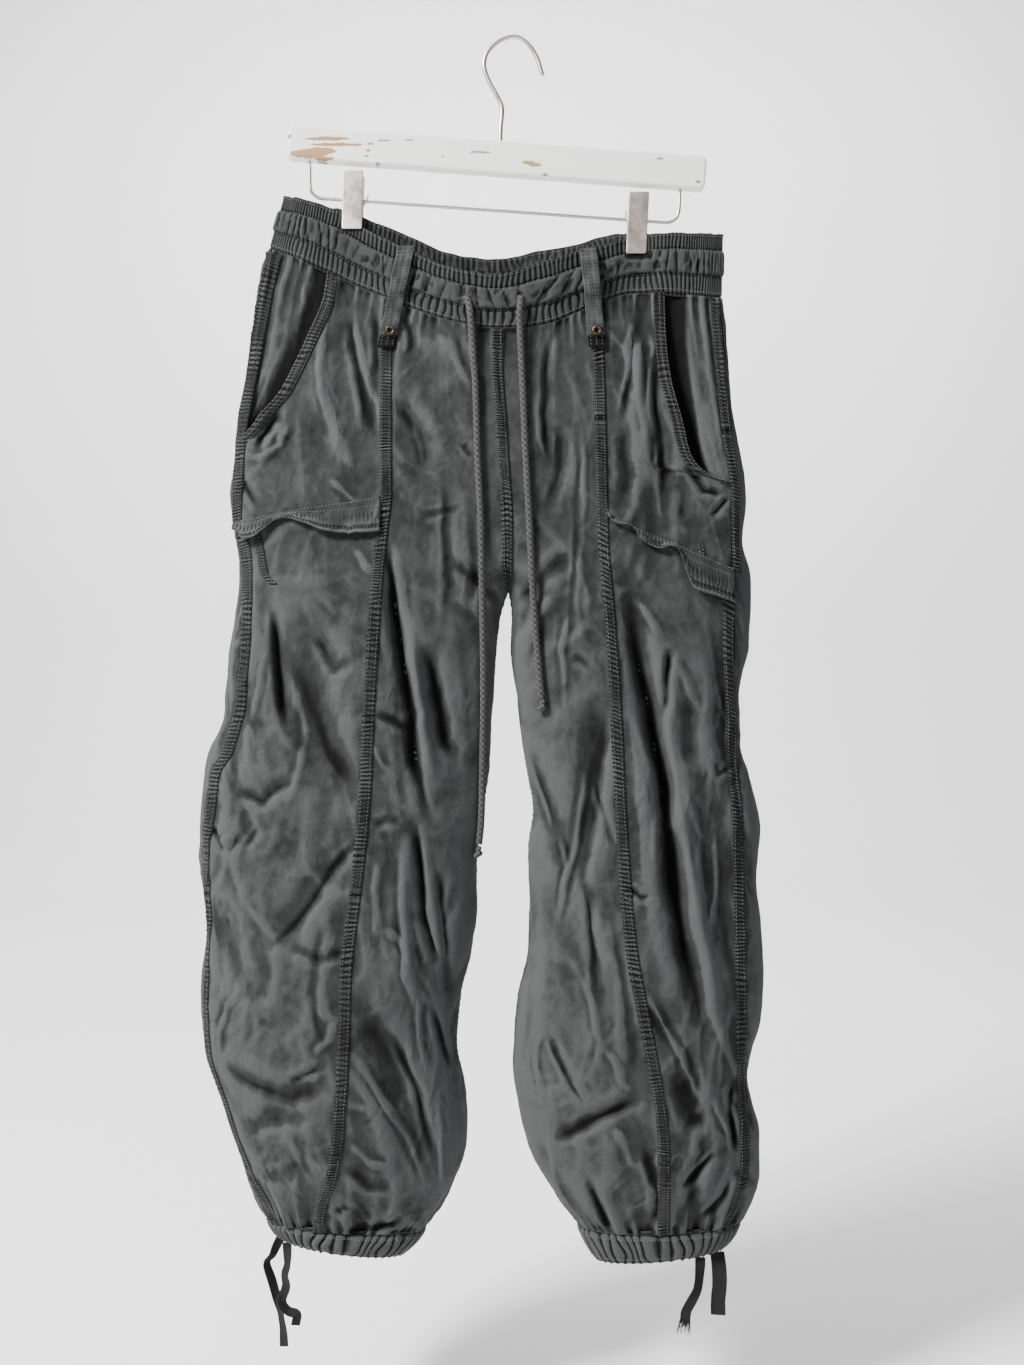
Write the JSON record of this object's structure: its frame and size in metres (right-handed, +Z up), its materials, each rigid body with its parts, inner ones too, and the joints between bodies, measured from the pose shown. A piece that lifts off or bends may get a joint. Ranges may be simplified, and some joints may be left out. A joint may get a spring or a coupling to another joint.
{
  "type": "cargo pants on a clip hanger",
  "caption": "Grey washed cotton cargo pants with a gathered drawstring waist and balloon legs, hung by two clips from a white wooden hanger.",
  "frame": {"origin": "inside of the hanger hook's bend, where it rests on a rod or wall hook", "axes": "+Z up along the hanging garment, the garment's front towards -Y, the wearer's left at +X"},
  "size_m": [0.502, 0.1107, 1.1745],
  "materials": {
    "washed_cotton": "garment-washed grey twill, matt, paler along worn edges",
    "waistband_cotton": "darker gathered twill",
    "drawstring_braid": "matt cotton braid",
    "dark_tape": "matt charcoal cotton tape",
    "painted_wood": "white satin paint, chipped to bare wood",
    "satin_nickel": "satin nickel plate",
    "aged_brass": "dark antique brass"
  },
  "bodies": {
    "root": {"front_panel_right": "washed_cotton", "front_panel_left": "washed_cotton", "back_panel_right": "washed_cotton", "back_panel_left": "washed_cotton", "side_upper_right": "washed_cotton", "side_upper_left": "washed_cotton", "side_lower_right": "washed_cotton", "side_lower_left": "washed_cotton", "flap_right": "washed_cotton", "flap_left": "washed_cotton", "hem_casing_right": "washed_cotton", "hem_casing_left": "washed_cotton", "felled_band_right": "washed_cotton", "felled_band_left": "washed_cotton", "side_band_right": "washed_cotton", "side_band_left": "washed_cotton", "pocket_edge_right": "washed_cotton", "pocket_edge_left": "washed_cotton", "fly_band": "washed_cotton", "belt_loop_right": "washed_cotton", "belt_loop_left": "washed_cotton", "waistband_front": "waistband_cotton", "waistband_back": "waistband_cotton", "pocket_facing_right": "waistband_cotton", "pocket_facing_left": "waistband_cotton", "drawstring_right": "drawstring_braid", "drawstring_left": "drawstring_braid", "drawstring_knot_right": "drawstring_braid", "drawstring_knot_left": "drawstring_braid", "ankle_tie_right_outer": "dark_tape", "ankle_tie_right_inner": "dark_tape", "ankle_tie_left_inner": "dark_tape", "ankle_tie_left_outer": "dark_tape", "ankle_tie_fray": "dark_tape", "hanger_board": "painted_wood", "hanger_hook": "satin_nickel", "hanger_rail": "satin_nickel", "clip_right_front": "satin_nickel", "clip_right_back": "satin_nickel", "clip_left_front": "satin_nickel", "clip_left_back": "satin_nickel", "clip_right_spring": "satin_nickel", "clip_left_spring": "satin_nickel", "rivet_right": "aged_brass", "rivet_left": "aged_brass"}
  },
  "joints": []
}
